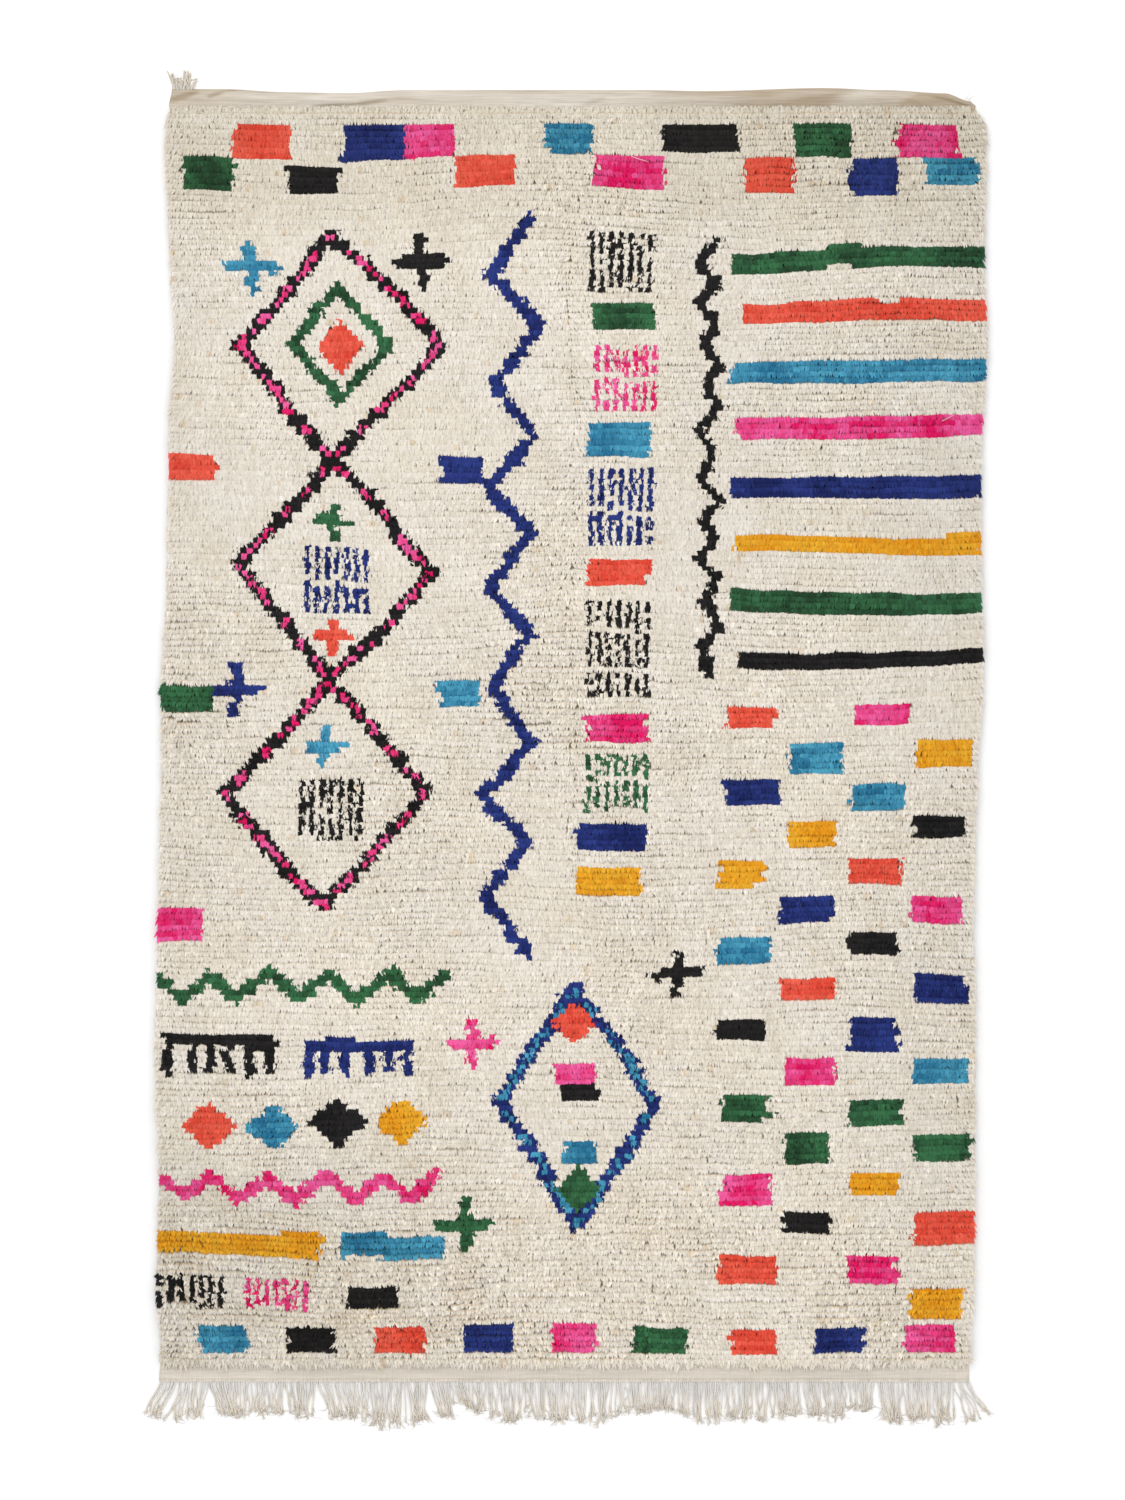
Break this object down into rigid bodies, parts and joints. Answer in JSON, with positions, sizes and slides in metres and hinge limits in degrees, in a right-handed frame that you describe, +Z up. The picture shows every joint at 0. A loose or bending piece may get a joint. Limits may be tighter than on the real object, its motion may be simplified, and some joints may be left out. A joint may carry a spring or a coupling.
{
  "type": "azilal rug",
  "caption": "Hand-knotted shaggy wool rug lying flat, cream with bright geometric motifs, flat-woven ends, a cotton fringe at one end and loose warp ends at one corner.",
  "frame": {"origin": "on the floor under the middle of the whole rug's box, fringe and loose corner ends included", "axes": "+X across the rug, +Y along it from the fringed end to the plain end, +Z up out of the pile"},
  "size_m": [1.631, 2.6342, 0.0194],
  "materials": {
    "pile_wool": "soft matt cut wool pile in cream with dyed motifs in pink, orange-red, blue, turquoise, green, yellow and black",
    "warp_yarn": "matt twisted off-white warp yarn"
  },
  "bodies": {
    "root": {"rug": "pile_wool", "fringe_bottom": "warp_yarn", "corner_tuft": "warp_yarn"}
  },
  "joints": []
}
